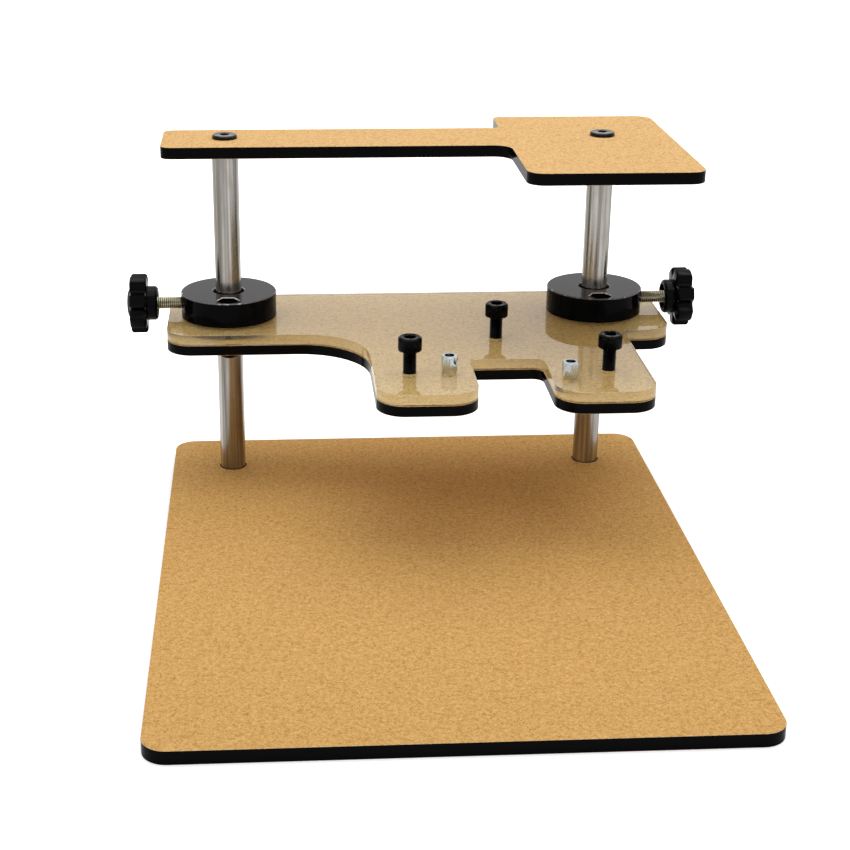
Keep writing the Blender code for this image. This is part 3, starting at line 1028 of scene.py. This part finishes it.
top_screw_painted_reflection = black_oxide("steel_black_oxide_painted_reflection", "161617", "2e2d2b", 0.5, 0.25)
for side in ("left", "right"):
    node = side + "_top_screw"
    low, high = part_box(node)
    head = (high.x - low.x) / 2
    under = high.z - low_head_height
    levels = [
        (high.z - low_head_key_depth, hexagonal(end_key)),
        (high.z - socket_edge, hexagonal(end_key)),
        (high.z, socket_mouth),
        (high.z, head - low_head_chamfer),
        (high.z - low_head_chamfer, head),
        (under, head),
        (under, m5_radius),
    ]
    levels += thread_levels(m5_radius, m5_pitch, under - low_head_runout, low.z + end_tip)
    levels.append((low.z, end_tip_radius))
    shape = turned_shape(levels, end_steps, crest=m5_radius)
    # Painted shade in the socket: its walls and floor get the near-black finish, the rest the paler
    # one painted with the reflection.
    for face in shape.faces:
        middle = face.calc_center_median()
        face.material_index = 1 if math.hypot(middle.x, middle.y) < socket_reach else 0
    bmesh.ops.translate(shape, verts=shape.verts, vec=(*place_of(node), 0))
    keep_piece(
        shape,
        side + "_low_head_screw",
        "base_frame",
        node,
        [top_screw_painted_reflection, adjuster_finish],
    )
    node = side + "_base_screw"
    low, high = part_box(node)
    head = (high.x - low.x) / 2
    over = low.z + sunk_head_height
    levels = [
        (low.z + sunk_key_depth, hexagonal(end_key)),
        (low.z, hexagonal(end_key)),
        (low.z, head),
        (over, m5_radius),
    ]
    levels += thread_levels(m5_radius, m5_pitch, over + sunk_head_runout, high.z - end_tip)
    levels.append((high.z, end_tip_radius))
    shape = turned_shape(levels, end_steps, crest=m5_radius)
    bmesh.ops.translate(shape, verts=shape.verts, vec=(*place_of(node), 0))
    keep_piece(
        shape,
        side + "_sunk_screw",
        "base_frame",
        node,
        [adjuster_finish],
    )


# Studs and star knobs.
# M5 studs, zinc plated with a yellow tint, and moulded black nylon star knobs with a recessed
# hub towards the collar, a lobed grip and a low crown.
star_radius = 0.0115
star_lobes = 7
star_depth = 0.0028
star_crest_cut = 1.2
star_thickness = 0.0066
lobe_rise = math.radians(21)
star_near_edge = [(0.0, 0.90), (0.0002, 0.955), (0.0006, 0.99), (0.0010, 1.0)]
star_far_edge = [(-0.0010, 1.0), (-0.0006, 0.985), (-0.0002, 0.95), (0.0, 0.90)]
crown_profile = [(0.0, 0.0060), (0.0004, 0.0057), (0.0009, 0.0048), (0.0012, 0.0036)]
crown_flat = 0.0018
hub_radius = 0.00665
hub_length = 0.0040
hub_profile = [(0.0, 0.0009), (0.0003, 0.0004), (0.0009, 0.0)]
recess_depth = 0.0024
recess_profile = [(0.0024, 0.0047), (0.0002, 0.0049), (0.0, 0.0051)]
insert_radius = 0.0028
insert_spare = 0.0003
stud_ends = [(0.0018, 0.0006), (0.0020, 0.0004)]
stud_steps = 48
knob_steps = 168


def lobed(scale, first_lobe):
    """The radius of the flat-crested star grip at an angle, drawn in by a share."""

    def reach(angle):
        wave = min(1, (1 + math.cos(star_lobes * (angle - first_lobe))) / star_crest_cut)
        return scale * (star_radius - star_depth * (1 - wave))

    return reach


def moulded_nylon():
    """Moulded black plastic: a smooth gloss from the tool, with a very fine grain."""
    name = "nylon_black_moulded"
    material, shader = new_material(name, "040405", 0.14, ior=1.53, sheen_level=0.05)
    grain = pattern(material, 0.5, detail=3)
    relief = add_node(
        material,
        "ShaderNodeBump",
        {},
        {"Height": (grain, "Fac"), "Distance": 0.00003, "Strength": 0.5},
    )
    material.node_tree.links.new(relief.outputs[0], shader.inputs["Normal"])
    return material


stud_zinc = zinc_plate("steel_zinc_yellow", "f8f6ea", "ebe3c4", 0.28)
knob_finish = moulded_nylon()
for side, outward in (("left", -1), ("right", 1)):
    outwards = Matrix.Rotation(outward * math.pi / 2, 4, "Y")
    low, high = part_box(side + "_clamp_stud")
    axis = Matrix.Translation((outward * post_x, 0, (low.z + high.z) / 2))
    near = min(abs(low.x), abs(high.x)) - post_x
    far = max(abs(low.x), abs(high.x)) - post_x
    (near_radius, near_length), (far_radius, far_length) = stud_ends
    levels = [(near, near_radius)]
    levels += thread_levels(m5_radius, m5_pitch, near + near_length, far - far_length)
    levels.append((far, far_radius))
    shape = turned_shape(levels, stud_steps, crest=m5_radius)
    bmesh.ops.transform(shape, matrix=axis @ outwards, verts=shape.verts)
    keep_piece(
        shape,
        side + "_stud_rod",
        side + "_stud",
        side + "_clamp_stud",
        [stud_zinc],
    )
    low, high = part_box(side + "_knob")
    hub = min(abs(low.x), abs(high.x)) - post_x
    end = max(abs(low.x), abs(high.x)) - post_x
    star = hub + hub_length
    crown = star + star_thickness
    first_lobe = math.atan2(-math.cos(lobe_rise), -outward * math.sin(lobe_rise))
    levels = [(far + insert_spare, insert_radius), (hub + recess_depth, insert_radius)]
    levels += [(hub + along, reach) for along, reach in recess_profile]
    levels += [(hub + along, hub_radius - inwards) for along, inwards in hub_profile]
    levels.append((star, hub_radius))
    levels += [(star + along, lobed(share, first_lobe)) for along, share in star_near_edge]
    levels += [(crown + along, lobed(share, first_lobe)) for along, share in star_far_edge]
    levels += [(crown + along, reach) for along, reach in crown_profile]
    levels.append((end, crown_flat))
    shape = turned_shape(levels, knob_steps)
    bmesh.ops.transform(shape, matrix=axis @ outwards, verts=shape.verts)
    keep_piece(
        shape,
        side + "_star_grip",
        side + "_knob",
        side + "_knob",
        [knob_finish],
    )


# Floor and light.
# A wide white floor that fades to plain white away from the frame, a soft lamp above it,
# and an even white room round it.
floor_reach = 12.0
floor_drop = 0.00005
floor_middle = [0.0, -0.09, 0.0]
floor_lift = 0.4
fade_start = 0.15
fade_end = 0.30
lamp_place = (0.05, 0.1, 1.2)
lamp_aim = (0.02, -0.08, 0.05)
lamp_size = 1.4
lamp_power = 15
room_level = 0.5

floor_mesh = bpy.data.meshes.new("floor")
shape = bmesh.new()
bmesh.ops.create_grid(shape, x_segments=1, y_segments=1, size=floor_reach)
bmesh.ops.translate(shape, verts=shape.verts, vec=(0, 0, -floor_drop))
shape.to_mesh(floor_mesh)
shape.free()
floor = bpy.data.objects.new("floor", floor_mesh)
bpy.context.scene.collection.objects.link(floor)
floor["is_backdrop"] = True
floor_finish, floor_shader = new_material("painted_white_floor", "f0f0f0", 0.9)
floor_shader.inputs["Specular IOR Level"].default_value = 0.0
seen = add_node(floor_finish, "ShaderNodeLightPath", {}, {})
spot = add_node(floor_finish, "ShaderNodeTexCoord", {}, {})
away = add_node(
    floor_finish,
    "ShaderNodeVectorMath",
    {"operation": "DISTANCE"},
    {0: (spot, "Object"), 1: floor_middle},
)
fade = add_node(
    floor_finish,
    "ShaderNodeMapRange",
    {},
    {
        "Value": (away, "Value"),
        "From Min": fade_start,
        "From Max": fade_end,
        "To Min": floor_lift,
        "To Max": 1.0,
    },
)
lift = add_node(
    floor_finish,
    "ShaderNodeMath",
    {"operation": "MULTIPLY"},
    {0: (seen, "Is Camera Ray"), 1: (fade, 0)},
)
floor_shader.inputs["Emission Color"].default_value = linear("ffffff")
floor_finish.node_tree.links.new(lift.outputs[0], floor_shader.inputs["Emission Strength"])
floor_mesh.materials.append(floor_finish)

world = bpy.data.worlds.new("white_room")
world.use_nodes = True
bpy.context.scene.world = world
backdrop = world.node_tree.nodes["Background"]
backdrop.inputs["Color"].default_value = linear("ffffff")
seen = add_node(world, "ShaderNodeLightPath", {}, {})
direct = add_node(
    world,
    "ShaderNodeMath",
    {"operation": "MAXIMUM"},
    {0: (seen, "Is Camera Ray"), 1: (seen, "Is Glossy Ray")},
)
direct = add_node(
    world,
    "ShaderNodeMath",
    {"operation": "MAXIMUM"},
    {0: (direct, 0), 1: (seen, "Is Transmission Ray")},
)
strength = add_node(
    world,
    "ShaderNodeMapRange",
    {},
    {"Value": (direct, 0), "To Min": room_level, "To Max": 1.0},
)
world.node_tree.links.new(strength.outputs[0], backdrop.inputs["Strength"])


def add_lamp(name, place, aim, size, power):
    """A square soft lamp that faces a point."""
    data = bpy.data.lights.new(name, "AREA")
    data.size = size
    data.energy = power
    lamp = bpy.data.objects.new(name, data)
    away = Vector(place) - Vector(aim)
    lamp.matrix_world = Matrix.Translation(place) @ away.to_track_quat("Z", "Y").to_matrix().to_4x4()
    bpy.context.scene.collection.objects.link(lamp)


add_lamp("key_lamp", lamp_place, lamp_aim, lamp_size, lamp_power)

low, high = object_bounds()
